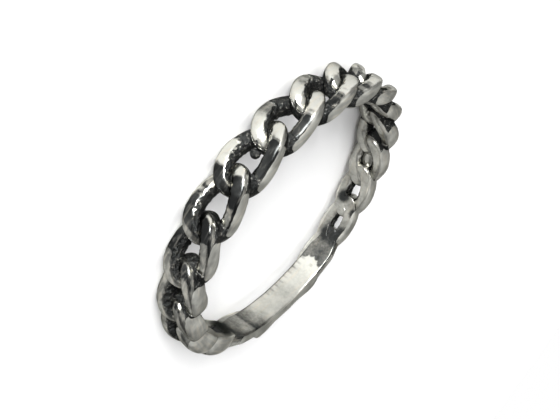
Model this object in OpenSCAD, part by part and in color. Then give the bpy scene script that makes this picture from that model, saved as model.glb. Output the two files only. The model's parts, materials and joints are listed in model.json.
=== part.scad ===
// Chain link ring: a cast finger ring in the form of a curb chain that ends in a plain band.
// Millimetres. The ring lies on its side: Z is the axis of the finger hole, and the origin is the
// middle of the hole. The front of the chain, with its largest links, faces -Y, and the plain band
// is at +Y. Angles round the ring count from the front towards -X.

/* [Finger hole] */
// Diameter of the finger hole
bore_d = 18; // [16:0.25:20]

/* [Chain] */
// Number of links from one end of the chain to the other
link_count = 18; // [15:1:18]
// Angle from one link to the next, degrees
link_step = 17.6; // [16.6:0.1:17.6]
// Turn of each end of a link out of the chain's flat, degrees
link_twist = 36; // [30:1:42]
// Roundness of a link's oval, where 1 is an ellipse and less is squarer
link_round = 0.91; // [0.8:0.01:1]
// Depth that neighbouring links share where they are cast together
link_overlap = 0.06; // [0.04:0.01:0.12]
// How fast the links change from front to back, where more keeps the front's size for longer
taper_power = 2.7; // [2:0.1:3.5]

/* [Links at the front] */
// Distance between the wire's centre lines across a link
front_link_w = 2.26; // [2:0.02:2.5]
// Width of the wire across the chain
front_wire_w = 1.04; // [0.9:0.02:1.2]
// Thickness of the wire, measured out from the finger
front_wire_t = 1.34; // [1.2:0.02:1.5]
// Extra depth of the wire on its finger side
front_foot = 0.2; // [0.14:0.02:0.4]
// Height of a link's middle above the finger hole
front_rise = 1.06; // [1:0.02:1.1]
// Rise and fall of a link's bars, as a share of what its twist alone gives
front_wave = 1.2; // [1:0.05:1.3]

/* [Links at the band] */
// Distance between the wire's centre lines across a link
back_link_w = 1.26; // [1.1:0.02:1.4]
// Width of the wire across the chain
back_wire_w = 1.0; // [0.9:0.02:1.1]
// Thickness of the wire, measured out from the finger
back_wire_t = 1.5; // [1.4:0.02:1.6]
// Extra depth of the wire on its finger side
back_foot = 0; // [0:0.02:0.2]
// Height of a link's middle above the finger hole
back_rise = 0.66; // [0.6:0.02:0.7]
// Rise and fall of a link's bars, as a share of what its twist alone gives
back_wave = 0.2; // [0:0.05:0.4]

/* [Ground faces] */
// Height above the finger hole at which the tops of the links are ground
crown_h = 2.1; // [2:0.02:2.3]
// Depth ground off the chain's two rims at the front
rim_cut = 0.06; // [0.02:0.01:0.12]

/* [Webs] */
// Length of the web between two links, round the ring
web_l = 1.05; // [0.9:0.05:1.3]
// Width of the web between two links, across the chain
web_w = 1.5; // [1.2:0.05:1.7]
// Thickness of the web between two links
web_t = 1.3; // [1.1:0.05:1.4]

/* [Band] */
// Width of the plain band
band_w = 2; // [1.9:0.05:2.2]
// Thickness of the plain band at its middle
band_t = 1.05; // [0.95:0.05:1.2]
// How far the band's middle lies above the chain's
band_shift = 0.2; // [0:0.05:0.25]
// Crown of the band's outer face
band_crown = 0.1; // [0.06:0.02:0.16]
// Angle that the band runs in under the last link, degrees
band_under = 9; // [6:1:12]

/* [Shoulders] */
// Angle from the last link's middle to the top of the shoulder, degrees
shoulder_step = 13; // [11:0.5:14]
// Angle over which the shoulder rises beside the link, degrees
shoulder_rise = 6.5; // [4:0.5:8]
// Angle over which the shoulder falls to the band, degrees
shoulder_fall = 13; // [11:0.5:14]
// Height of the shoulder's top above the band's outer face
shoulder_h = 0.9; // [0.6:0.05:1.05]

/* [Detail] */
// Flats round a link's wire
wire_sides = 10; // [10:2:12]
// Sections along a link's wire
wire_steps = 24; // [20:4:24]

/* [Hidden] */
bore_r = bore_d / 2;
chain_half = (link_count - 1) / 2 * link_step;
crown_r = bore_r + crown_h;
chain_w = front_link_w + front_wire_w - 2 * rim_cut;
band_r = bore_r + band_t;
band_start = chain_half - band_under;
// Stock left inside the finger hole before it is ground out
bore_stock = 0.35;
// Depth of a web's middle below the links' middle line
web_sink = 0.1;
// Narrowing of the shoulder on each side of the band, and its depth into the band
shoulder_inset = 0.1;
shoulder_root = 0.85;
// Fineness of the round faces, the webs, the shoulders and the tangent along a link
bore_sides = 128;
band_sides = 96;
web_sides = 8;
shoulder_sides = 12;
tangent_step = 2;

// A value that goes from the front's to the back's as q goes from 0 to 1
function mix(front, back, q) = front + (back - front) * q;

// Angle of a link's middle from the front, and how far it has changed to the back's size
function link_angle(i) = (i - (link_count - 1) / 2) * link_step;
function change(i) = pow(abs(link_angle(i)) / chain_half, taper_power);

// Radius of a link's middle line, and half the length of that line
function link_r(i) = bore_r + mix(front_rise, back_rise, change(i));
function link_half_l(i) =
    link_r(i) * link_step * PI / 360 + mix(front_wire_w, back_wire_w, change(i)) / 2 - link_overlap / 2;

// A point given by its angle round the ring, its radius and its height
function at_ring(angle, r, z) = [-r * sin(angle), -r * cos(angle), z];

// Cosine or sine drawn out towards the corners of a square
function squared(v) = sign(v) * pow(abs(v), link_round);

// Point t of link i's middle line: an oval, twisted about its long axis and bent round the ring
function link_line(i, t) =
    let (
        q = change(i),
        along = squared(cos(t)),
        across = mix(front_link_w, back_link_w, q) / 2 * squared(sin(t)),
        turn = link_twist * along,
        lift = mix(front_wave, back_wave, q) * across * sin(turn),
        angle = link_angle(i) + along * link_half_l(i) / link_r(i) * 180 / PI
    )
    at_ring(angle, link_r(i) + lift, across * cos(turn));

function unit(v) = v / norm(v);
function radial(p) = unit([p[0], p[1], 0]);

// A point brought inside the ground faces: the outer round and the two rims
function ground(p) =
    let (
        r = norm([p[0], p[1]]),
        s = min(1, crown_r / r),
        z = max(-chain_w / 2, min(chain_w / 2, p[2]))
    )
    [p[0] * s, p[1] * s, z];

// The wire's section at point t of link i, an ellipse that stands on the ring, deeper towards the finger
function link_section(i, t) =
    let (
        q = change(i),
        outside = mix(front_wire_t, back_wire_t, q) / 2,
        inside = outside + mix(front_foot, back_foot, q),
        c = link_line(i, t),
        dir = unit(link_line(i, t + tangent_step) - link_line(i, t - tangent_step)),
        out = unit(radial(c) - (radial(c) * dir) * dir),
        side = cross(dir, out)
    )
    [
        for (s = [0 : wire_sides - 1])
            let (a = (s + 0.5) * 360 / wire_sides)
            ground(
                c + out * (cos(a) > 0 ? outside : inside) * cos(a)
                    + side * mix(front_wire_w, back_wire_w, q) / 2 * sin(a)
            )
    ];

// One link: its wire carried round the middle line
module chain_link(i) {
    points = [for (n = [0 : wire_steps - 1]) each link_section(i, (n + 0.5) * 360 / wire_steps)];
    faces = [
        for (n = [0 : wire_steps - 1], s = [0 : wire_sides - 1])
            let (
                m = (n + 1) % wire_steps,
                k = (s + 1) % wire_sides,
                a = n * wire_sides + s,
                b = n * wire_sides + k,
                c = m * wire_sides + k,
                d = m * wire_sides + s
            )
            each [[a, c, b], [a, d, c]]
    ];
    polyhedron(points, faces, convexity = 6);
}

// The cast metal in the crotch between link i and the next one
module link_web(i) {
    angle = (link_angle(i) + link_angle(i + 1)) / 2;
    r = (link_r(i) + link_r(i + 1)) / 2;
    q = (change(i) + change(i + 1)) / 2;
    translate(at_ring(angle, r - web_sink, 0))
        rotate([0, 0, -angle])
            scale([web_l, web_t, mix(web_w, min(web_w, back_link_w), q)])
                sphere(d = 1, $fn = web_sides);
}

// The band's section, from inside the finger hole to the crown of its outer face
module band_section() {
    curve_r = (pow(band_w / 2, 2) + pow(band_crown, 2)) / (2 * band_crown);
    intersection() {
        translate([bore_r - bore_stock, band_shift - band_w / 2])
            square([band_t + bore_stock, band_w]);
        translate([band_r - curve_r, band_shift])
            circle(curve_r, $fn = band_sides);
    }
}

// The plain band at the back, which runs in under the last link on each side
module band() {
    half = 180 - band_start;
    rotate([0, 0, 90 - half])
        rotate_extrude(angle = 2 * half, $fn = band_sides)
            band_section();
}

// How high the shoulder stands above the band's face, at an angle from its top
function shoulder_lift(d) =
    let (reach = d < 0 ? shoulder_rise : shoulder_fall)
    shoulder_h * (1 + cos(180 * min(1, abs(d) / reach))) / 2;

// The raised shoulder between the last link and the band, on the side where angles have this sign
module shoulder(side) {
    top = chain_half + shoulder_step;
    span = shoulder_rise + shoulder_fall;
    outer = [
        for (n = [0 : shoulder_sides])
            let (d = n / shoulder_sides * span - shoulder_rise)
            at_ring(side * (top + d), band_r - band_crown + shoulder_lift(d), 0)
    ];
    inner = [
        for (n = [0 : shoulder_sides])
            let (d = shoulder_fall - n / shoulder_sides * span)
            at_ring(side * (top + d), band_r - shoulder_root, 0)
    ];
    translate([0, 0, band_shift])
        linear_extrude(height = band_w - 2 * shoulder_inset, center = true)
            polygon([for (p = concat(outer, inner)) [p[0], p[1]]]);
}

// The finger hole, ground through the links and the band in one bore
module finger_hole() {
    cylinder(h = 2 * chain_w, r = bore_r, center = true, $fn = bore_sides);
}

// The whole cast ring, its rims ground to the chain's width
module ring() {
    color("silver")
        difference() {
            resize([0, 0, chain_w])
                union() {
                    for (i = [0 : link_count - 1])
                        chain_link(i);
                    for (i = [0 : link_count - 2])
                        link_web(i);
                    band();
                    shoulder(1);
                    shoulder(-1);
                }
            finger_hole();
        }
}

ring();
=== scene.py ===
"""Chain link ring: a cast curb chain that closes in a plain band, lying on its side on a pale floor.

Every piece is a surface worked out with numpy on a grid of two parameters. Lengths are in
millimetres until a mesh is made, and the frame is the model's own: Z is the finger hole's axis, the
origin is the middle of the hole, and angles round the ring count from the front, -Y, towards -X.
"""
import json
import math

import bmesh
import bpy
import numpy as np
from mathutils import Matrix, Vector


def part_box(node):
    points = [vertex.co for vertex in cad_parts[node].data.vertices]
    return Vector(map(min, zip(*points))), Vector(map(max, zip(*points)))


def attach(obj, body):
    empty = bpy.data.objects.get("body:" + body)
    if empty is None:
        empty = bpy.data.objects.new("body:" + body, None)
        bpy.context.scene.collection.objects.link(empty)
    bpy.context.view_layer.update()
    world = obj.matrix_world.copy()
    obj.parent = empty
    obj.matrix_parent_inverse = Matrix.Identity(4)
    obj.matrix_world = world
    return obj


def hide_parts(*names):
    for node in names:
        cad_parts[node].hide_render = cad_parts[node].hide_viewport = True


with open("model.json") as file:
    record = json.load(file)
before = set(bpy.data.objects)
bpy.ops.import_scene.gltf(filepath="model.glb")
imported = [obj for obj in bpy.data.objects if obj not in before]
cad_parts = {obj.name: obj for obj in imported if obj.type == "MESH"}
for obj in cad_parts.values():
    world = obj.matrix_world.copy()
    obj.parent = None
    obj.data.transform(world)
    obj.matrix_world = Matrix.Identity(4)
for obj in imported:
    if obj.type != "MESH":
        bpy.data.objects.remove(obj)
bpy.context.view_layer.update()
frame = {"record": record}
MM = 0.001

# The finger hole, the chain's width, its ground tops, the ring's reach and the floor, from the frame
RING_LOW, RING_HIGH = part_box("ring")
BORE_R = frame["record"]["mounts"][0]["dims"]["r_mm"]
RIM_Z = (RING_HIGH.z - RING_LOW.z) / 2 / MM
CROWN_R = -RING_LOW.y / MM
SIDE_X, BACK_Y = RING_HIGH.x / MM, RING_HIGH.y / MM
FLOOR_Z = RING_LOW.z / MM

# The chain, in millimetres and degrees, as it is in the solid: the number of links, their pitch and
# twist, how full their ovals are, how far neighbours overlap and how late they change to the band's size
LINK_COUNT = 18
LINK_STEP = 17.6
LINK_TWIST = 36
LINK_ROUND = 0.91
LINK_OVERLAP = 0.06
TAPER_POWER = 2.7
CHAIN_HALF = (LINK_COUNT - 1) / 2 * LINK_STEP

# Sizes of a link at the front of the chain and at the band: its middle line's width and how far that
# stands off the finger hole's wall, how strongly its bars rise and sink, and the width, the thickness
# and the fullness of its wire
LINK_W = (2.26, 1.26)
LINK_RISE = (1.06, 0.66)
LINK_WAVE = (1.2, 0.2)
WIRE_W = (1.04, 1.0)
WIRE_T = (1.34, 1.5)
WIRE_ROUND = (0.72, 0.95)

# How much deeper the wire is on its finger side than on its outer side, at the front and at the band,
# and what is added to that for the front links and for those behind the ring's sides, with the angles
# round the ring over which the two additions come and go
WIRE_FOOT = (-0.05, 0.25)
FOOT_FRONT, FOOT_SIDE = -0.18, 0.15
FRONT_START = (79, 55)
SIDE_START, SIDE_END = (62, 97), (150, 130)

# How much a wire's side swells towards the ring's rim, and how far a side has to face its link's hole
# for its rough skin to start and to be full
RIM_SWELL = 0.05
HOLE_FACING = (0.15, 0.6)

# The webs between the links: their length at the front and behind it, with the angles between which
# it changes, their width, their thickness at the front and at the band, and how deep they sit
WEB_L, WEB_LONGER = (0.8, 0.9), (60, 95)
WEB_W = 1.5
WEB_T = (1.3, 2.0)
WEB_SINK = 0.1

# Crumbs on each web: how many, their least and greatest size, how far from the web's middle they sit
# round the ring and out, and across as a share of the web's width, the angle in radians that they are
# spread over to each side, and the seeds of their places and of their skins
CRUMBS = 9
CRUMB_SIZE = (0.22, 0.48)
CRUMB_ALONG, CRUMB_OUT, CRUMB_ACROSS = 0.45, 0.4, 0.55
CRUMB_SPREAD = 0.9
CRUMB_SEEDS = (900, 300)

# Cast metal left inside the links' holes: angle, radius, height and the three sizes of each lump.
# The first lies in a hole at the ring's side, the second closes one near the band, and the next two
# are a bead and its neck.
LEFT_METAL = (
    (96.8, 9.8, 0.0, (1.9, 1.0, 1.2)),
    (-138.5, 9.5, -0.05, (2.3, 1.3, 1.8)),
    (-24.5, 9.9, -0.13, (0.58, 0.5, 0.62)),
    (-22.6, 9.95, 0.05, (0.62, 0.3, 0.3)),
)

# The band: its width and thickness, how far it lies above the ring's middle, its crown and rounded
# edges, and how far it runs in under the last links and narrows there
BAND_W, BAND_T = 2.0, 1.05
BAND_SHIFT = 0.2
BAND_CROWN = 0.1
BAND_EDGE = 0.12
BAND_UNDER = 9
BAND_TAPER = 0.75

# Its shoulders: how far past the last link they peak, the angles over which they rise and fall, their
# height, how much lower they are at the rims, and how softly they start
SHOULDER_STEP = 13
SHOULDER_RISE, SHOULDER_FALL = 6.5, 13
SHOULDER_H = 0.9
SHOULDER_DROP = 0.25
HILL_SOFT = 0.12

# Grinding: how softly a ground face runs into the rest, and the ring's reach likewise, how far apart
# neighbours stop, and how far a wire's skin lies inside its section before its lumps raise it
GRIND_SOFT, REACH_SOFT = 0.13, 0.02
GRIND_STEP = 0.004
SKIN_INSET = 0.03

# Uneven skins and tones, each with its height, the size of its lumps and its seed
LINK_LUMPS = (0.02, 0.9, 11)
LINK_GRAIN = (0.012, 0.35, 51)
HOLE_ROUGH = (0.075, 0.3, 71)
WEB_LUMPS = (0.09, 0.9, 201)
WEB_GRAIN = (0.05, 0.35, 231)
BAND_WAVES = (0.012, 1.6, 401)
TONE_WAVES = (5, 1.4, 601)
BAND_CLOUDS = (0.05, 2.5, 701)

# The marks that each piece carries for its finish, the tone among them carrying painted reflections and
# painted shade
MARKS = ("painted_light_tone", "polish", "rim", "hole")

# Painted reflection on a polished top, as a tone from 0 for painted dark through 0.5 for grey to 1 for
# painted bright, by how far its skin faces on past the link's own limit, in degrees
REFLECTION_FACING = (-60, -46, -36, -4, 4, 26, 45, 70)
REFLECTION_TONE_VALUE = (0.55, 0.5, 0.0, 0.0, 1.0, 1.0, 0.66, 0.5)

# That limit against the link's middle, in degrees, for links at these angles round the ring, and what
# a lower bar's facing gains against it
REFLECTION_LINKS = (-150, -125, -97, -9, 9, 26, 62, 100, 150)
REFLECTION_LIMIT = (-10, 20, 66, -22, -28, -30, -30, -25, -20)
REFLECTION_LOW_BAR = (0, -20, -38, 22, 22, 10, 0, 0, 0)

# How much of the skin's lean counts for its tone, what the lower bars on the side of +X gain, the most
# that counts, in degrees, and how many degrees the crown of a bar is set back
LEAN_SHARE, LEAN_LOW_BAR, LEAN_MOST = 0.2, 0.45, 60
CROWN_BACK = 10

# Past this facing the tones on the side of -X run up to twice as fast
FACING_FAST = 12

# The least painted reflection of the strips at a bar's sides and of the links at the ring's sides, the
# painted reflection that the links near the band draw towards and how closely, and the tone of the
# finger side in the middle of a wire and, darkened by painted shade, at its flanks
STRIP_REFLECTION, SIDE_REFLECTION = 0.46, 0.44
LAST_REFLECTION, LAST_SHARE = 0.76, 0.85
FINGER_TONE_AND_SHADE = (0.56, 0.14)

# Tone of the webs and crumbs, and the painted reflection on the band's flanks, painted darker, and on its
# outer face, with the distances from the finger hole's wall between which that changes
WEB_TONE = 0.5
BAND_OUTSIDE_REFLECTION, BAND_FLANK = (0.3, 0.75), (0.3, 0.8)

# The angles round the ring over which links change their looks, from where a change starts to where it
# is full: polish on every bar, least tone at the ring's sides, wide flats, pale tones, the leaning and
# the polish of lower bars on the side of +X, and faster tones on the side of -X
POLISHED_LINKS, GREY_LINKS, FLAT_LINKS, PALE_LINKS = (70, 120), (80, 125), (100, 125), (100, 135)
LEANING_LINKS, LONG_POLISH_LINKS, FAST_LINKS = (-15, -35), (-20, -50), (15, 45)

# Where the parts of a link start and are full, by how far its skin faces outwards: a bar's crown, the
# strips at its sides and the finger side; by how far it faces the rim: the outer side and the side at
# the link's hole; and by how far it faces forward or back: the side at a neighbour
CROWN_FACING, STRIP_FACING, FINGER_FACING = (0.7, 0.98), (0.75, 0.5), (0.0, -0.35)
OUTER_FACING, INNER_FACING, END_FACING = (-0.1, 0.1), (0.1, -0.15), (0.3, 0.7)

# Where painted shade darkens a link's finger side, counted round the wire from 0 in the middle of that
# side to 2 in the middle of the outer side
FLANK = (0.4, 0.95)

# Where a link's upper bar ends and its lower one is full, by the sine of the place on its oval
BAR_SPLIT = (0.15, -0.15)

# How far along a bar the polish reaches, in degrees of the link's oval, for an upper bar, a lower bar
# and what a lower bar gains on the side of +X, and how softly it ends
POLISH_UPPER, POLISH_LOWER, POLISH_MORE, POLISH_SOFT = 105, 83, 45, 15

# How far the skin has to face outwards for polish: on the hole's side of an upper and of a lower bar,
# and on the outer side with what that loses near the band; and over how much more it becomes full,
# with what the outer side adds to it
POLISH_INNER, POLISH_OUTER, POLISH_WIDEN = (0.3, 0.68), 0.1, 0.7
POLISH_EDGE, POLISH_OUTER_EDGE = 0.2, 0.1

# How far the skin has to face the rim for a flat, what is added at a bar's two ends, what is taken off
# near the band, over how much more it becomes full, the ends of a bar in degrees of the link's oval,
# and how high above the ring's middle a flat lies
FLAT_FACING, FLAT_AT_ENDS, FLAT_WIDEN, FLAT_EDGE = 0.64, 0.34, 0.35, 0.12
BAR_START, BAR_END = (80, 40), (95, 135)
FLAT_HEIGHT = (0.75, 1.0)

# How far from the finger hole's wall a skin still counts as its inside, for links and for the band
HOLE_REACH, BAND_HOLE_REACH = (0.6, 0.3), (0.25, 0.1)

# Pockets of painted shade in the finger side's recesses: angle round the ring, height and size; how many
# millimetres a degree is there, and where they start and are full as shares of their size
PAINTED_SHADE_POCKETS = (
    (-137, -0.05, 0.75), (138.5, 0.1, 0.66), (137.5, 0.9, 0.6), (124.5, 0.9, 0.3), (119, -0.45, 0.4),
)
POCKET_ARC = 0.157
POCKET_START, POCKET_FULL = 1.7, 0.6

# Painted reflection inside the band: how bright it is by the angle round the ring, as a share of its
# brightest, how far its borders lean, in degrees to a millimetre of height, and how its tone follows from
# that share
BAND_ANGLE = (152, 162, 178, 188, 191, 197, 202, 204.5, 206, 213, 217, 222, 230)
BAND_REFLECTION = (0.95, 0.82, 0.85, 0.8, 1, 0.4, 0.08, -0.2, 0.22, 0.27, 0.02, -0.3, 0)
BAND_LEAN = 0.8
BAND_REFLECTION_TONE = (0.26, 0.61)

# Where the band's painted reflection stops, how far that edge curves, the depth of its scallops and how
# soft it is, in degrees, and the scallops' waves in radians to a millimetre
REFLECTION_START, REFLECTION_CURVE, SCALLOPS, REFLECTION_SOFT = 152.5, 5, 1.1, 0.5
SCALLOP_WAVES = 8

# The file's ribs on the band: the heights over which they start, the parts of their wave that show, its
# radians to a degree, the angles where they stop and how dark they are
RIB_HEIGHT, RIB_SHOWS, RIB_WAVES, RIB_STOP, RIB_DARK = (-0.35, -0.7), (0.2, 0.9), 1.9, (190, 180), 0.4

# The pit in the band: its angle, its height, how many millimetres a degree is there, its size and how
# dark it is
PIT_ANGLE, PIT_HEIGHT, PIT_ARC, PIT_SIZE, PIT_DARK = 157, 0.2, 0.16, (0.22, 0.05), 0.5

# The band's edges: the heights where painted shade darkens the inside, by how much below and above, and
# where its rims start
EDGE_HEIGHT, EDGE_PAINTED_SHADE = (0.86, 0.93), (0.75, 0.15)
RIM_HEIGHT = (0.9, 0.98)

# Grid sizes: along and round a link, round and across a web and a crumb, round the ring on the band,
# and on the band's section between two corners and in a corner
LINK_GRID = (208, 60)
WEB_GRID = (72, 48)
CRUMB_GRID = (24, 16)
BAND_GRID = 420
SECTION_GRID = (22, 7)

# How near points are merged at a pole, and how thin a sliver is taken out, in metres
WELD, SLIVER = 1e-8, 1e-9

# The metal's patterns, each with its scale and its detail: clouds and grain, which count per metre,
# and streaks, which are drawn out along the lay; the grain's roughness is the last of its three
CLOUD_NOISE, GRAIN_NOISE, STREAK_NOISE = (900.0, 3.0), (5200.0, 4.0, 0.65), (1.6, 2.0)
STREAK_STRETCH = (0.22, 3.2, 3.2)

# Brightness of the metal by its clouds: two values of the noise and the brightness at each, for metal
# left black, for the painted dark and grey reflections on the polished tops, and for the ground flats
BLACK, DARK_REFLECTION = (0.3, 0.7, 0.025, 0.05), (0.4, 0.75, 0.02, 0.07)
GREY_REFLECTION, GROUND_FLAT = (0.3, 0.7, 0.19, 0.3), (0.35, 0.65, 0.4, 0.64)

# What the grain adds to the black as painted glints, and what streaks add to the other three, as above
PAINTED_GLINTS, DARK_STREAKS = (0.57, 0.7, 0.0, 0.31), (0.52, 0.7, 0.0, 0.1)
GREY_STREAKS, FLAT_STREAKS = (0.4, 0.7, -0.08, 0.08), (0.35, 0.7, -0.05, 0.06)

# Brightness by tone, as above, for the painted pale reflections on the tops and for the finger side, and
# the tones over which the tops' painted reflections turn from dark to grey and from grey to pale
PALE_REFLECTION, FINGER_SIDE = (0.72, 1.0, 0.46, 0.62), (0.0, 1.0, 0.035, 0.585)
TO_GREY, TO_PALE = (0.14, 0.36), (0.56, 0.78)

# How ragged grain and clouds make the borders of the finishes, as above, and the values of the marks
# over which polish, the flats and the finger side set in
RAGGED_GRAIN, RAGGED_CLOUD = (0.0, 1.0, -0.14, 0.14), (0.2, 0.8, -0.14, 0.14)
POLISH_BORDER, FLAT_BORDER, FINGER_BORDER = (0.38, 0.62), (0.4, 0.6), (0.3, 0.7)

# The metal's colour: the red that streaks add and the blue they take, the shares of green and blue by
# how bright it is, as above, and the tint of what it mirrors at a low angle
WARMTH = (0.45, 0.75, 0.0, 0.05)
GREEN_SHARE, BLUE_SHARE = (0.02, 0.15, 1.05, 1.0), (0.02, 0.15, 1.04, 0.92)
LOW_ANGLE_TINT = (0.35, 0.35, 0.34, 1)

# Its roughness: left black, polished, by its clouds as above, and satin
ROUGH_BLACK, ROUGH_POLISH, ROUGH_SATIN = 0.34, (0.3, 0.7, 0.18, 0.26), 0.3

# Its relief: how much of the grain's polish leaves, how much clouds give, and its depth in metres
GRAIN_LEFT, CLOUD_RELIEF, RELIEF = 0.02, 0.06, 0.0002

# The lay of the streaks: the radius that turns angles into lengths, and how far apart pieces are set
LAY_RADIUS, LAY_SHIFT = 10, 7.0

# The floor: its radius, its grid, how bright and dull it is, and how little it shines
FLOOR_R, FLOOR_GRID = 2500, (24, 72)
FLOOR_SHADE, FLOOR_ROUGH, FLOOR_SHINE = 0.87, 0.9, 0.1

# The lights: name, direction as the camera's is given, spread in degrees and strength
LIGHTS = (
    ("key_light", 15, 14.5, 32, 8.8),
    ("front_light", 18, 40, 110, 0.4),
    ("top_light", 30, 80, 90, 0.6),
    ("back_light", 215, 24, 60, 0.27),
)
LIGHT_DISTANCE = 0.3

# The studio's walls: how bright they are by height, from the floor's edge at 0 to overhead at 1
WALL_HEIGHT = (0.0, 0.08, 0.16, 0.5, 1.0)
WALL_SHADE = (1.0, 1.0, 0.3, 0.3, 0.5)

# The camera: the photograph's angle to the ring, in degrees, its distance in millimetres, its focal
# length and its middle in pixels of the image, the width of its sensor and what it sees, in metres
CAMERA_AZIMUTH = 35.14
CAMERA_HEIGHT = 20.69
CAMERA_ROLL = 125.66
CAMERA_DISTANCE = 51.05
CAMERA_FOCAL_PX = 765.6
CAMERA_CENTRE_PX = (288.4, 218.9)
IMAGE_PX = (560, 420)
SENSOR = 36.0
CAMERA_RANGE = (0.002, 20)


def waves(points, size, seed, count=20):
    """Smooth noise from -1 to 1: the mean of sines of plane waves with random directions and phases.

    The waves' lengths lie round size, so that is the size of the noise's lumps.
    """
    draw = np.random.default_rng(seed)
    way = draw.normal(size=(count, 3))
    way /= np.linalg.norm(way, axis=1)[:, None]
    pitch = 2 * np.pi / (size * draw.uniform(0.7, 1.6, count))
    phase = draw.uniform(0, 2 * np.pi, count)
    flat = np.asarray(points, float).reshape(-1, 3)
    value = np.sin(flat @ (way * pitch[:, None]).T + phase).mean(1) * math.sqrt(count / 2)
    return np.clip(value, -2, 2).reshape(np.shape(points)[:-1]) / 2


def smooth(low, high, value):
    """A step from 0 at low to 1 at high that starts and ends level: 3s^2 - 2s^3."""
    s = np.clip((value - low) / (high - low), 0, 1)
    return s * s * (3 - 2 * s)


def least(value, limit, soft):
    """The smaller of two values, rounded where they cross over a width of soft."""
    near = np.maximum(soft - np.abs(value - limit), 0) / soft
    return np.minimum(value, limit) - near * near * soft / 4


def held(value, limit, soft):
    """A value kept between minus the limit and the limit, rounded where it reaches them."""
    return -least(-least(value, limit, soft), limit, soft)


def mix(pair, share):
    """The value that lies the given share of the way from the pair's first to its second."""
    return pair[0] + (pair[1] - pair[0]) * share


def boxed(value, power):
    """A cosine or sine raised to a power below 1, its sign kept, which makes an oval fuller."""
    return np.sign(value) * np.abs(value) ** power


def unit(vectors):
    """Vectors divided by their own lengths."""
    return vectors / np.linalg.norm(vectors, axis=-1, keepdims=True)


def uneven(points, kind, i=0):
    """Noise of one kind: its height times waves of its size, with its seed moved on by the number i."""
    height, size, seed = kind
    return height * waves(points, size, seed + i)


def at_ring(angle, radius, height):
    """Points from their angle round the ring in degrees, their radius and their height."""
    a = np.radians(angle)
    return np.stack(np.broadcast_arrays(-radius * np.sin(a), -radius * np.cos(a), height), -1)


def ring_angle(points):
    """Angles of points round the ring in degrees, from -180 to 180: the arc tangent of -x over -y."""
    return np.degrees(np.arctan2(-points[..., 0], -points[..., 1]))


def ring_radius(points):
    """Distances of points from the finger hole's axis."""
    return np.hypot(points[..., 0], points[..., 1])


def link_angle(i):
    """Angle of link i round the ring: the links stand a pitch apart, evenly about the front."""
    return (i - (LINK_COUNT - 1) / 2) * LINK_STEP


def change(i):
    """How far link i has changed to the band's size: its share of the way there, raised to a power."""
    return (abs(link_angle(i)) / CHAIN_HALF) ** TAPER_POWER


def front_share(i):
    """1 for the links at the front of the ring, falling to 0 at its sides."""
    return smooth(*FRONT_START, abs(link_angle(i)))


def side_share(i):
    """1 for the links behind the ring's sides, falling to 0 towards the front and the band."""
    return smooth(*SIDE_START, abs(link_angle(i))) * smooth(*SIDE_END, abs(link_angle(i)))


def link_radius(i):
    """Radius of link i's middle line: the finger hole's radius and the line's distance from its wall."""
    return BORE_R + mix(LINK_RISE, change(i))


def link_half_length(i):
    """Half of link i's middle line: half the pitch and half the wire, less half the overlap."""
    wire = mix(WIRE_W, change(i))
    return link_radius(i) * math.radians(LINK_STEP) / 2 + wire / 2 - LINK_OVERLAP / 2


def link_line(i, t):
    """Middle line of link i: an oval, a little fuller than an ellipse, twisted and bent round the ring.

    Along the ring it runs by cos t, across it by sin t. The twist turns the oval by an angle that
    grows along the link, so one bar rises at one end and the other bar at the other end.
    """
    q = change(i)
    along = boxed(np.cos(t), LINK_ROUND)
    across = mix(LINK_W, q) / 2 * boxed(np.sin(t), LINK_ROUND)
    turn = np.radians(LINK_TWIST) * along
    lift = mix(LINK_WAVE, q) * across * np.sin(turn)
    angle = link_angle(i) + np.degrees(along * link_half_length(i) / link_radius(i))
    return at_ring(angle, link_radius(i) + lift, across * np.cos(turn))


def ground(points, number, soft=GRIND_SOFT):
    """Points brought inside the ground faces: the outer round, the two rims and the finger hole.

    Each limit is rounded over a small width. Neighbouring pieces stop a hair apart, so that no two
    of their faces lie in each other. The ring's reach to its sides and its back is kept too.
    """
    step = GRIND_STEP * number
    radius = ring_radius(points)
    inside = least(radius, CROWN_R - step, soft)
    inside = -least(-inside, -(BORE_R + step), soft)
    share = inside / radius
    x = held(points[..., 0] * share, SIDE_X - step, REACH_SOFT)
    y = least(points[..., 1] * share, BACK_Y - step, REACH_SOFT)
    return np.stack([x, y, held(points[..., 2], RIM_Z - step, soft)], -1)


def link_wire(i):
    """Link i on a grid before grinding, and its middle line: its section carried round the line.

    The section is an ellipse with flattened sides that stands square to the line, one axis pointing
    out of the ring. Its half towards the finger is deeper by the foot, its outer half is rounder near
    the band, and its outer side swells towards the rim, so that grinding leaves a long flat there.
    Cast lumps move the skin, most of all on the side that faces the link's hole.
    """
    q = change(i)
    t = np.linspace(0, 2 * np.pi, LINK_GRID[0], endpoint=False)[:, None]
    a = np.linspace(0, 2 * np.pi, LINK_GRID[1], endpoint=False)[None, :]
    step = math.radians(1)
    line = link_line(i, t)
    way = unit(link_line(i, t + step) - link_line(i, t - step))
    radial = unit(line * [1, 1, 0])
    out = unit(radial - (radial * way).sum(-1, keepdims=True) * way)
    side = np.cross(way, out)
    outside = mix(WIRE_T, q) / 2
    inside = outside + mix(WIRE_FOOT, q) + FOOT_FRONT * front_share(i) + FOOT_SIDE * side_share(i)
    power = np.where(np.cos(a) > 0, mix(WIRE_ROUND, q), WIRE_ROUND[0])
    depth = np.where(np.cos(a) > 0, outside, inside) * boxed(np.cos(a), power)
    width = mix(WIRE_W, q) / 2 * boxed(np.sin(a), power)
    to_rim = np.sin(a) * side[..., 2] * np.sin(t)
    width = width + RIM_SWELL * np.maximum(to_rim, 0)
    points = line + out * depth[..., None] + side * width[..., None]
    skin = unit(points - line)
    lumps = uneven(points, LINK_LUMPS, i) + uneven(points, LINK_GRAIN, i)
    lumps = lumps + uneven(points, HOLE_ROUGH, i) * smooth(*HOLE_FACING, -to_rim)
    return points + skin * (lumps - SKIN_INSET)[..., None], line


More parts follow.
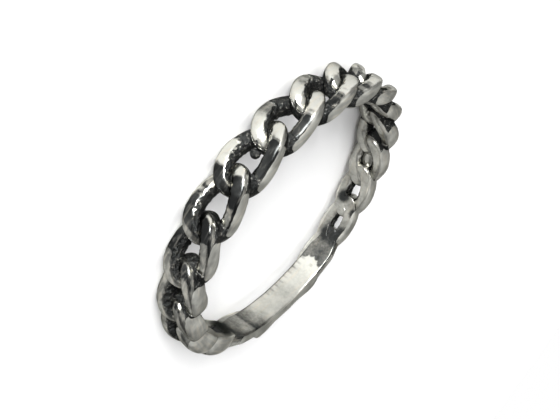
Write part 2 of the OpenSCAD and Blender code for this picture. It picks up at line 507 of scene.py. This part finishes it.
def skin_facing(points, line):
    """How a link's skin faces, from its grid: outward, forward round the ring, and towards its rim.

    The normal is the cross product of the two directions of the grid, turned away from the line.
    """
    along = np.roll(points, -1, 0) - np.roll(points, 1, 0)
    round_it = np.roll(points, -1, 1) - np.roll(points, 1, 1)
    normal = unit(np.cross(round_it, along))
    normal = normal * np.sign((normal * (points - line)).sum(-1, keepdims=True))
    radial = unit(points * [1, 1, 0])
    forward = np.stack([radial[..., 1], -radial[..., 0], 0 * radial[..., 0]], -1)
    outward = (normal * radial).sum(-1)
    return outward, (normal * forward).sum(-1), normal[..., 2] * np.sign(points[..., 2])


def web_place(i):
    """Where the web between link i and the next sits, midway between them.

    It is given by how far the chain has changed there, the angle, the radius and the web's width.
    """
    q = (change(i) + change(i + 1)) / 2
    angle = (link_angle(i) + link_angle(i + 1)) / 2
    radius = (link_radius(i) + link_radius(i + 1)) / 2 - WEB_SINK
    return q, angle, radius, mix((WEB_W, LINK_W[1]), q)


def web_surface(i):
    """The cast web between link i and the next: a lump on the ring's round, midway between them.

    It is as wide and as thick there as the two links leave room for.
    """
    q, angle, radius, width = web_place(i)
    length = mix(WEB_L, smooth(*WEB_LONGER, abs(angle)))
    return cast_lump(at_ring(angle, radius, 0.0), (length, mix(WEB_T, q), width), i)


def cast_lump(middle, size, i, grid=WEB_GRID):
    """A lump of cast metal on a grid: a ball drawn out to three sizes, round the ring, out and across.

    Its skin is pushed in and out by lumps of two sizes, as cast metal that was never cleaned up. The
    number i picks the lumps and how far short of its neighbours it stops.
    """
    u = np.linspace(0, 2 * np.pi, grid[0], endpoint=False)[:, None]
    v = np.linspace(-np.pi / 2, np.pi / 2, grid[1])[None, :]
    ball = np.stack(np.broadcast_arrays(np.cos(u) * np.cos(v), np.sin(u) * np.cos(v), np.sin(v)), -1)
    lumps = 1 + uneven(ball, WEB_LUMPS, i) + uneven(ball, WEB_GRAIN, i)
    ball = ball * lumps[..., None] * np.array(size) / 2
    turn = math.atan2(-middle[0], -middle[1])
    x = ball[..., 0] * math.cos(turn) + ball[..., 1] * math.sin(turn)
    y = -ball[..., 0] * math.sin(turn) + ball[..., 1] * math.cos(turn)
    return ground(np.stack([x, y, ball[..., 2]], -1) + middle, 4 + i % 3)


def web_crumbs(i):
    """Small lumps on the web between link i and the next, one grid after the other.

    Each sits on an ellipsoid about the web's middle, at a random place towards one of its two ends,
    where it breaks up the edge of a link's hole.
    """
    draw = np.random.default_rng(CRUMB_SEEDS[0] + i)
    _, middle, radius, width = web_place(i)
    for n in range(CRUMBS):
        end = 1 if n % 2 else -1
        turn, rise = draw.uniform(-CRUMB_SPREAD, CRUMB_SPREAD, 2)
        along = CRUMB_ALONG * math.cos(turn) * math.cos(rise)
        angle = middle + end * math.degrees(along / radius)
        out = radius + CRUMB_OUT * math.sin(rise)
        place = at_ring(angle, out, CRUMB_ACROSS * width * math.sin(turn))
        yield cast_lump(place, draw.uniform(*CRUMB_SIZE, 3), CRUMB_SEEDS[1] + 20 * i + n, CRUMB_GRID)


def band_profile():
    """The band's section as one closed line of depths and widths from its middle, edges rounded.

    It is a rectangle whose corners are quarter circles, counted once round from the finger side.
    """
    half_t, half_w = BAND_T / 2, BAND_W / 2
    turn = np.linspace(0, np.pi / 2, SECTION_GRID[1])
    arcs = []
    for quarter, (s_t, s_w) in enumerate([(-1, -1), (1, -1), (1, 1), (-1, 1)]):
        start = np.pi + quarter * np.pi / 2
        middle = np.array([s_t * (half_t - BAND_EDGE), s_w * (half_w - BAND_EDGE)])
        arcs.append(middle + BAND_EDGE * np.stack([np.cos(start + turn), np.sin(start + turn)], -1))
    share = np.linspace(0, 1, SECTION_GRID[0], endpoint=False)[1:, None]
    rows = []
    for arc, following in zip(arcs, arcs[1:] + arcs[:1]):
        rows.append(arc)
        rows.append(arc[-1] + (following[0] - arc[-1]) * share)
    return np.concatenate(rows)


def shoulder_lift(angle):
    """How far the shoulders raise the band's outer face: a cosine hill past each last link."""
    d = np.abs(angle) - (CHAIN_HALF + SHOULDER_STEP)
    reach = np.where(d < 0, SHOULDER_RISE, SHOULDER_FALL)
    return SHOULDER_H * (1 + np.cos(np.pi * np.clip(np.abs(d) / reach, 0, 1))) / 2


def band_surface():
    """The band on a grid: its section carried round the back, with its crown and its shoulders.

    The outer face falls by a parabola towards the rims, and the shoulders' hills raise it, less
    towards the rims too. The band narrows where it runs in under the last links, and its first and
    last sections close to a point there.
    """
    start = CHAIN_HALF - BAND_UNDER
    angle = np.linspace(start, 360 - start, BAND_GRID)[:, None]
    signed = np.where(angle > 180, angle - 360, angle)
    profile = band_profile()
    outer = np.clip((profile[:, 0] / (BAND_T / 2) + 1) / 2, 0, 1)[None, :]
    taper = mix((1, BAND_TAPER), smooth(0, BAND_UNDER, np.abs(angle - 180) - (180 - start) + BAND_UNDER))
    across = profile[:, 1][None, :] * taper
    crown = BAND_CROWN * (across / (BAND_W / 2)) ** 2
    hill = shoulder_lift(signed) * (1 - SHOULDER_DROP * (across / (BAND_W / 2)) ** 4) - BAND_CROWN
    lift = (hill + np.hypot(hill, HILL_SOFT)) / 2
    radius = BORE_R + BAND_T / 2 + profile[:, 0][None, :] + outer * (lift - crown)
    points = at_ring(angle, radius, across + BAND_SHIFT)
    points = points + (uneven(points, BAND_WAVES) * outer)[..., None] * unit(points * [1, 1, 0])
    ends = points[[0, -1]].mean(1, keepdims=True)
    points = ground(points, 0, GRIND_STEP)
    points[0], points[-1] = ends[0], ends[1]
    return points


def hole_share(points):
    """How far a point counts as part of the finger hole, by its distance from the hole's wall."""
    return smooth(*HOLE_REACH, ring_radius(points) - BORE_R)


def painted_pocket_shade(points):
    """How far a point lies in one of the finger side's pockets of painted shade, from its distance to
    them all.
    """
    share = np.zeros(points.shape[:-1])
    for middle, height, size in PAINTED_SHADE_POCKETS:
        off = np.hypot((ring_angle(points) - middle) * POCKET_ARC, points[..., 2] - height)
        share = np.maximum(share, smooth(POCKET_START * size, POCKET_FULL * size, off))
    return share


def painted_bar_reflection(i, low_bar, wire, outward, forward, outer_side):
    """Painted reflection on link i's outer skin: a table's tone for how far on round the ring the skin
    faces.

    That is the place along the bar plus a little of how the skin leans there, against the link's own
    limit, so each bar is painted with a bright reflection at one end and a dark one in the middle.
    Strips at a bar's sides are painted lighter, and behind the ring's sides the painted reflections
    draw together towards a pale grey.
    """
    place = link_angle(i)
    lean = np.degrees(np.arctan2(forward, outward))
    crest = lean[:, :1]
    leaning = LEAN_SHARE + LEAN_LOW_BAR * low_bar * smooth(*LEANING_LINKS, place)
    lean = crest + leaning * np.clip(lean - crest, -LEAN_MOST, LEAN_MOST)
    facing = ring_angle(wire) - place + lean - np.interp(place, REFLECTION_LINKS, REFLECTION_LIMIT)
    facing = facing - CROWN_BACK * smooth(*CROWN_FACING, outward) + uneven(wire, TONE_WAVES, i)
    facing = facing + np.interp(place, REFLECTION_LINKS, REFLECTION_LOW_BAR) * low_bar
    facing = facing + np.maximum(facing - FACING_FAST, 0) * smooth(*FAST_LINKS, place)
    painted_light_tone = np.interp(facing, REFLECTION_FACING, REFLECTION_TONE_VALUE)
    # Lighter painted reflection on the strips at a bar's sides
    strip = smooth(*STRIP_FACING, outward) * mix((1, outer_side), low_bar)
    painted_light_tone = np.maximum(painted_light_tone, STRIP_REFLECTION * strip)
    painted_light_tone = np.maximum(painted_light_tone, SIDE_REFLECTION * smooth(*GREY_LINKS, abs(place)))
    return mix((painted_light_tone, LAST_REFLECTION), LAST_SHARE * smooth(*PALE_LINKS, abs(place)))


def finger_tone_with_shade(towards_rim, forward, points):
    """Tone of a link's finger side, with painted shade falling from the middle of the wire to its flanks.

    The painted shade falls where the skin turns to the link's hole or to a neighbour, not at the ring's
    rims, and the pockets are painted dark.
    """
    section = np.abs(np.linspace(-2, 2, LINK_GRID[1], endpoint=False)[None, :])
    side = np.maximum(smooth(*INNER_FACING, towards_rim), smooth(*END_FACING, np.abs(forward)))
    # Painted shade at the flanks and in the pockets
    inside = mix(FINGER_TONE_AND_SHADE, smooth(*FLANK, section) * side)
    return inside * (1 - painted_pocket_shade(points))


def link_marks(i, wire, line, points):
    """The marks of link i for its finish, from how its unground skin faces.

    Polish covers the outer skin where a bar is raised, tone is its painted reflection and the finger
    side's tone with its painted shade, rim is the side ground flat, and hole the finger side. Near the
    band the polish reaches further round the wire, and the flats widen.
    """
    place = link_angle(i)
    side, last = smooth(*POLISHED_LINKS, abs(place)), smooth(*FLAT_LINKS, abs(place))
    outward, forward, towards_rim = skin_facing(wire, line)
    outer_side = smooth(*OUTER_FACING, towards_rim)
    t = np.linspace(0, 360, LINK_GRID[0], endpoint=False)[:, None]
    along = t % 180
    low_bar = smooth(*BAR_SPLIT, np.sin(np.radians(t)))

    lower = POLISH_LOWER + POLISH_MORE * smooth(*LONG_POLISH_LINKS, place)
    reach = mix((POLISH_UPPER, lower), low_bar)
    raised = smooth(reach + POLISH_SOFT, reach - POLISH_SOFT, along)
    limit = mix((mix(POLISH_INNER, low_bar), POLISH_OUTER - POLISH_WIDEN * last), outer_side)
    skin = smooth(limit, limit + POLISH_EDGE + POLISH_OUTER_EDGE * outer_side, outward)
    polish = np.maximum(raised, side) * skin

    bar_ends = np.maximum(smooth(*BAR_START, along), smooth(*BAR_END, along)) * (1 - side)
    limit = FLAT_FACING + FLAT_AT_ENDS * bar_ends - FLAT_WIDEN * last
    rim = smooth(limit, limit + FLAT_EDGE, towards_rim) * smooth(*FLAT_HEIGHT, np.abs(wire[..., 2]))

    hole = smooth(*FINGER_FACING, outward) * hole_share(points)
    # The tone: painted reflections on the outer skin, and on the finger side its tone with painted shade
    painted_light_tone = painted_bar_reflection(i, low_bar, wire, outward, forward, outer_side)
    painted_light_tone = mix((painted_light_tone, finger_tone_with_shade(towards_rim, forward, points)), hole)
    return {"painted_light_tone": painted_light_tone, "polish": polish, "rim": rim, "hole": hole}


def lay_of(points, seed):
    """A place for brushed streaks: distance round the ring, distance from its axis, and height.

    The seed moves each piece's heights on, so that no two pieces have the same streaks.
    """
    round_it = np.radians(ring_angle(points)) * LAY_RADIUS
    return np.stack([round_it, ring_radius(points), points[..., 2] + seed * LAY_SHIFT], -1)


def band_marks(points):
    """The marks of the band: a polished outer face with a painted reflection, and a painted reflection
    inside that changes round the ring.

    Inside the reflection is painted brightest at the back and towards one end, where it stops in
    scallops, and falls to grey towards the other end. Short ribs left by a file cross one edge, a pit
    sits near the scallops, and painted shade darkens the edges and the pockets.
    """
    depth = ring_radius(points) - BORE_R
    angle = ring_angle(points) % 360
    height = points[..., 2] - BAND_SHIFT
    # The painted reflection inside the band, stopping in scallops
    scallops = SCALLOPS * np.abs(np.sin(height * SCALLOP_WAVES))
    start = REFLECTION_START + REFLECTION_CURVE * height ** 2 + scallops
    painted_band_reflection = smooth(start - REFLECTION_SOFT, start + REFLECTION_SOFT, angle)
    painted_band_reflection = painted_band_reflection * np.interp(angle + BAND_LEAN * height, BAND_ANGLE, BAND_REFLECTION)
    ribs = smooth(*RIB_SHOWS, np.sin(angle * RIB_WAVES)) * smooth(*RIB_HEIGHT, height)
    ribs = ribs * smooth(*RIB_STOP, angle)
    pit = smooth(*PIT_SIZE, np.hypot((angle - PIT_ANGLE) * PIT_ARC, height - PIT_HEIGHT))
    painted_band_reflection = painted_band_reflection * (1 - RIB_DARK * ribs) * (1 - PIT_DARK * pit)

    below, above = smooth(*EDGE_HEIGHT, -height), smooth(*EDGE_HEIGHT, height)
    inner = BAND_REFLECTION_TONE[0] + BAND_REFLECTION_TONE[1] * painted_band_reflection + uneven(points, BAND_CLOUDS)
    # Painted shade at the inside's edges and in the pockets
    inner = inner * (1 - EDGE_PAINTED_SHADE[0] * below - EDGE_PAINTED_SHADE[1] * above) * (1 - painted_pocket_shade(points))
    # Painted reflection on the polished outside, painted darker on its flanks
    outside = mix(BAND_OUTSIDE_REFLECTION, smooth(*BAND_FLANK, depth))
    hole = smooth(*BAND_HOLE_REACH, depth)
    rim = smooth(*RIM_HEIGHT, np.abs(height)) * (1 - hole)
    return {"painted_light_tone": mix((outside, inner), hole), "polish": 1 - hole, "rim": rim, "hole": hole}


def closed_grid(rows, columns, loop_rows):
    """The four-cornered faces of a grid that closes round its columns, and round its rows if it loops."""
    n = np.arange(rows if loop_rows else rows - 1)[:, None]
    s = np.arange(columns)[None, :]
    m, k = (n + 1) % rows, (s + 1) % columns
    corners = [n * columns + s, n * columns + k, m * columns + k, m * columns + s]
    return np.stack(np.broadcast_arrays(*corners), -1).reshape(-1, 4)


def make_piece(name, points, faces, material, marks, lay):
    """A mesh object from arrays of points in millimetres and of faces, with its marks and its lay."""
    mesh = bpy.data.meshes.new(name)
    flat = np.asarray(points, float).reshape(-1, 3) * MM
    mesh.from_pydata(flat.tolist(), [], faces.tolist())
    for mark, values in marks.items():
        layer = mesh.attributes.new(mark, "FLOAT", "POINT")
        layer.data.foreach_set("value", np.asarray(values, np.float32).ravel())
    if lay is not None:
        layer = mesh.attributes.new("lay", "FLOAT_VECTOR", "POINT")
        layer.data.foreach_set("vector", np.asarray(lay, np.float32).ravel())
    mesh.polygons.foreach_set("use_smooth", np.ones(len(mesh.polygons), bool))
    mesh.materials.append(material)
    mesh.update()
    piece = bpy.data.objects.new(name, mesh)
    bpy.context.scene.collection.objects.link(piece)
    return piece


def weld(piece):
    """Merges the points that lie together at a piece's poles and takes out what has no area."""
    work = bmesh.new()
    work.from_mesh(piece.data)
    bmesh.ops.remove_doubles(work, verts=work.verts, dist=WELD)
    bmesh.ops.dissolve_degenerate(work, edges=work.edges, dist=SLIVER)
    work.to_mesh(piece.data)
    work.free()


def shader(name):
    """A new material, its shader, and functions that add a node and that join two sockets."""
    material = bpy.data.materials.new(name)
    material.use_nodes = True
    tree = material.node_tree
    glossy = tree.nodes["Principled BSDF"]

    def add(kind, inputs=None, **settings):
        """A new node with its settings; an input takes a value or the socket that feeds it."""
        node = tree.nodes.new(kind)
        for key, value in settings.items():
            setattr(node, key, value)
        for key, value in (inputs or {}).items():
            if isinstance(value, bpy.types.NodeSocket):
                tree.links.new(value, node.inputs[key])
            else:
                node.inputs[key].default_value = value
        return node

    def link(source, target):
        """Joins an output's socket to an input's."""
        tree.links.new(source, target)

    return material, glossy, add, link


def cast_silver():
    """Cast silver, blackened in a bath and then polished where the wheel reached.

    Polish gives the smooth skin of the tops, and tone how dark or bright it is, as painted reflections
    on the tops and painted shade on the finger side, both with borders broken up by noise. Rim is the
    light satin of the flats at the sides, and hole the satin of the finger side. Elsewhere the metal is
    black and grainy with small painted glints.
    """
    material, glossy, add, link = shader("cast_silver")
    place = add("ShaderNodeTexCoord").outputs["Object"]
    marks = [add("ShaderNodeAttribute", attribute_name=name).outputs["Fac"] for name in MARKS]
    lay = add("ShaderNodeAttribute", attribute_name="lay").outputs["Vector"]
    along = add("ShaderNodeMapping", {"Vector": lay, "Scale": STREAK_STRETCH}).outputs["Vector"]

    def noise(vector, scale, detail, roughness=0.5):
        """A noise from 0 to 1 whose waves are 1 over scale long, with finer ones by its detail."""
        inputs = {"Vector": vector, "Scale": scale, "Detail": detail, "Roughness": roughness}
        return add("ShaderNodeTexNoise", inputs).outputs["Fac"]

    def maths(kind, a, b):
        """A sum, difference, product or other figure of two values."""
        return add("ShaderNodeMath", {0: a, 1: b}, operation=kind).outputs[0]

    def spread(value, low, high, to_low=0.0, to_high=1.0):
        """A smooth step from one value at low to another at high."""
        inputs = {"Value": value, "From Min": low, "From Max": high, "To Min": to_low, "To Max": to_high}
        return add("ShaderNodeMapRange", inputs, interpolation_type="SMOOTHSTEP").outputs["Result"]

    def blend(share, low, high):
        """The value that lies the given share of the way from low to high."""
        return maths("ADD", low, maths("MULTIPLY", share, maths("SUBTRACT", high, low)))

    cloud = noise(place, *CLOUD_NOISE)
    grain = noise(place, *GRAIN_NOISE)
    streak = noise(along, *STREAK_NOISE)

    # The borders between the finishes, broken up
    ragged = maths("ADD", spread(grain, *RAGGED_GRAIN), spread(cloud, *RAGGED_CLOUD))
    painted_light_tone = maths("ADD", marks[0], ragged)
    polished = spread(maths("ADD", marks[1], ragged), *POLISH_BORDER)
    rim = spread(maths("ADD", marks[2], ragged), *FLAT_BORDER)
    satin = spread(maths("ADD", marks[3], ragged), *FINGER_BORDER)

    # How bright the metal is: black with painted glints, then the polished tops with their painted
    # reflections, the finger side with its painted shade, and the flats over it
    # Black with painted glints: bright specks on the grain
    black_and_glints = maths("ADD", spread(cloud, *BLACK), spread(grain, *PAINTED_GLINTS))
    # The polished tops' painted reflections, dark, grey and pale by tone, blended into top
    painted_dark = maths("ADD", spread(cloud, *DARK_REFLECTION), spread(streak, *DARK_STREAKS))
    painted_grey = maths("ADD", spread(cloud, *GREY_REFLECTION), spread(streak, *GREY_STREAKS))
    pale = spread(painted_light_tone, *PALE_REFLECTION)
    top = blend(spread(painted_light_tone, *TO_PALE), blend(spread(painted_light_tone, *TO_GREY), painted_dark, painted_grey), pale)
    flat = maths("ADD", spread(cloud, *GROUND_FLAT), spread(streak, *FLAT_STREAKS))
    shade = blend(polished, black_and_glints, top)
    shade = blend(satin, shade, spread(painted_light_tone, *FINGER_SIDE))
    shade = blend(rim, shade, flat)

    # Its colour: a little warm where it is bright, and a little cool and green where it is dark
    warm = spread(streak, *WARMTH)
    red = maths("MULTIPLY", shade, maths("ADD", 1.0, warm))
    green = maths("MULTIPLY", shade, spread(shade, *GREEN_SHARE))
    blue = maths("MULTIPLY", shade, maths("SUBTRACT", spread(shade, *BLUE_SHARE), warm))
    colour = add("ShaderNodeCombineColor", {"Red": red, "Green": green, "Blue": blue})
    link(colour.outputs["Color"], glossy.inputs["Base Color"])
    glossy.inputs["Metallic"].default_value = 1.0
    glossy.inputs["Specular Tint"].default_value = LOW_ANGLE_TINT

    matte = blend(polished, ROUGH_BLACK, spread(cloud, *ROUGH_POLISH))
    matte = blend(satin, matte, ROUGH_SATIN)
    matte = blend(rim, matte, ROUGH_SATIN)
    link(matte, glossy.inputs["Roughness"])

    # The grain's relief, which polish and grinding take away
    smoothness = maths("MAXIMUM", polished, maths("MAXIMUM", satin, rim))
    skin = maths("MULTIPLY", grain, spread(smoothness, 0.0, 1.0, 1.0, GRAIN_LEFT))
    height = maths("ADD", skin, maths("MULTIPLY", cloud, CLOUD_RELIEF))
    bump = add("ShaderNodeBump", {"Height": height, "Strength": 1.0, "Distance": RELIEF})
    link(bump.outputs["Normal"], glossy.inputs["Normal"])
    return material


def plain_floor():
    """A pale floor with a dull, even finish."""
    material, glossy = shader("pale_floor")[:2]
    glossy.inputs["Base Color"].default_value = (FLOOR_SHADE, FLOOR_SHADE, FLOOR_SHADE, 1)
    glossy.inputs["Roughness"].default_value = FLOOR_ROUGH
    glossy.inputs["Specular IOR Level"].default_value = FLOOR_SHINE
    return material


def make_links(material):
    """The links, each a tube that closes on itself both along and round the wire."""
    for i in range(LINK_COUNT):
        wire, line = link_wire(i)
        points = ground(wire, 1 + i % 3)
        faces = closed_grid(*LINK_GRID, True)
        marks = link_marks(i, wire, line, points)
        yield make_piece(f"link_{i + 1:02d}", points, faces, material, marks, lay_of(points, i))


def make_webs(material):
    """The webs, the metal left in holes and the crumbs, each closed at two poles across the ring."""
    lumps = [web_surface(i) for i in range(LINK_COUNT - 1)]
    for n, (angle, radius, height, size) in enumerate(LEFT_METAL):
        lumps.append(cast_lump(at_ring(angle, radius, height), size, LINK_COUNT + n))
    for i in range(LINK_COUNT - 1):
        lumps.extend(web_crumbs(i))
    for i, points in enumerate(lumps):
        points = points.transpose(1, 0, 2)
        faces = closed_grid(*points.shape[:2], False)
        none = np.zeros(points.shape[:2])
        # Painted shade in the pockets darkens the webs' tone
        painted_light_tone = WEB_TONE * (1 - painted_pocket_shade(points))
        marks = {"painted_light_tone": painted_light_tone, "polish": none, "rim": none, "hole": hole_share(points)}
        piece = make_piece(f"web_{i + 1:03d}", points, faces, material, marks, lay_of(points, i))
        weld(piece)
        yield piece


def make_band(material):
    """The band, closed to a point at each end, inside the last links."""
    points = band_surface()
    faces = closed_grid(*points.shape[:2], False)
    marks = band_marks(points)
    piece = make_piece("band", points, faces, material, marks, lay_of(points, 0))
    weld(piece)
    yield piece


def make_floor():
    """The floor: a flat round sheet whose rings lie closer together towards its middle."""
    ring = (np.linspace(0, 1, FLOOR_GRID[0]) ** 2)[:, None] * FLOOR_R
    turn = np.linspace(0, 2 * np.pi, FLOOR_GRID[1], endpoint=False)[None, :]
    points = np.stack(np.broadcast_arrays(ring * np.cos(turn), ring * np.sin(turn), FLOOR_Z), -1)
    faces = closed_grid(*FLOOR_GRID, False)[:, ::-1]
    floor = make_piece("floor", points, faces, plain_floor(), {}, None)
    weld(floor)


def direction(azimuth, height):
    """The direction from the ring at an angle round it from the front and a height, in degrees."""
    a, h = math.radians(azimuth), math.radians(height)
    return Vector((math.sin(a) * math.cos(h), -math.cos(a) * math.cos(h), math.sin(h)))


def make_camera():
    """The camera looks at the origin from the photograph's side, turned about its own axis."""
    back = direction(CAMERA_AZIMUTH, CAMERA_HEIGHT)
    right = direction(CAMERA_AZIMUTH + 90, 0)
    roll = math.radians(CAMERA_ROLL)
    up = back.cross(right)
    across = right * math.cos(roll) + up * math.sin(roll)
    upward = up * math.cos(roll) - right * math.sin(roll)
    data = bpy.data.cameras.new("camera")
    data.sensor_width = SENSOR
    data.lens = CAMERA_FOCAL_PX / IMAGE_PX[0] * SENSOR
    data.shift_x = (IMAGE_PX[0] / 2 - CAMERA_CENTRE_PX[0]) / IMAGE_PX[0]
    data.shift_y = (CAMERA_CENTRE_PX[1] - IMAGE_PX[1] / 2) / IMAGE_PX[0]
    data.clip_start, data.clip_end = CAMERA_RANGE
    camera = bpy.data.objects.new("camera", data)
    camera.matrix_world = Matrix((across, upward, back)).transposed().to_4x4()
    camera.location = back * CAMERA_DISTANCE * MM
    bpy.context.scene.collection.objects.link(camera)
    bpy.context.scene.camera = camera


def make_light(name, azimuth, height, spread, strength):
    """A far, soft light from a direction given as the camera's is, spread over an angle in degrees."""
    back = direction(azimuth, height)
    data = bpy.data.lights.new(name, "SUN")
    data.angle = math.radians(spread)
    data.energy = strength
    lamp = bpy.data.objects.new(name, data)
    lamp.location = back * LIGHT_DISTANCE
    lamp.rotation_euler = back.to_track_quat("Z", "Y").to_euler()
    bpy.context.scene.collection.objects.link(lamp)


def make_surround():
    """The studio's walls, white at the floor's edge, dim above it and paler again overhead.

    A ramp gives their brightness from how high a direction points.
    """
    world = bpy.data.worlds.new("surround")
    world.use_nodes = True
    tree = world.node_tree
    place = tree.nodes.new("ShaderNodeTexCoord")
    parts = tree.nodes.new("ShaderNodeSeparateXYZ")
    ramp = tree.nodes.new("ShaderNodeValToRGB")
    tree.links.new(place.outputs["Generated"], parts.inputs[0])
    tree.links.new(parts.outputs["Z"], ramp.inputs["Fac"])
    stops = ramp.color_ramp.elements
    stops[0].position, stops[1].position = WALL_HEIGHT[0], WALL_HEIGHT[-1]
    for height in WALL_HEIGHT[1:-1]:
        stops.new(height)
    for stop, shade in zip(stops, WALL_SHADE):
        stop.color = (shade, shade, shade, 1)
    tree.links.new(ramp.outputs["Color"], tree.nodes["Background"].inputs["Color"])
    tree.nodes["Background"].inputs["Strength"].default_value = 1.0
    bpy.context.scene.world = world


def make_studio():
    """Soft light: a strong low one in front of the chain, weak ones above it, overhead and behind.

    The strong one throws the ring's shadow past the band. The studio's walls give the rest.
    """
    for light in LIGHTS:
        make_light(*light)
    make_surround()
    bpy.context.scene.view_settings.view_transform = "Standard"


make_camera()
make_studio()
make_floor()
silver = cast_silver()
for maker in (make_links, make_webs, make_band):
    for piece in maker(silver):
        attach(piece, "root")
        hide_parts("ring")
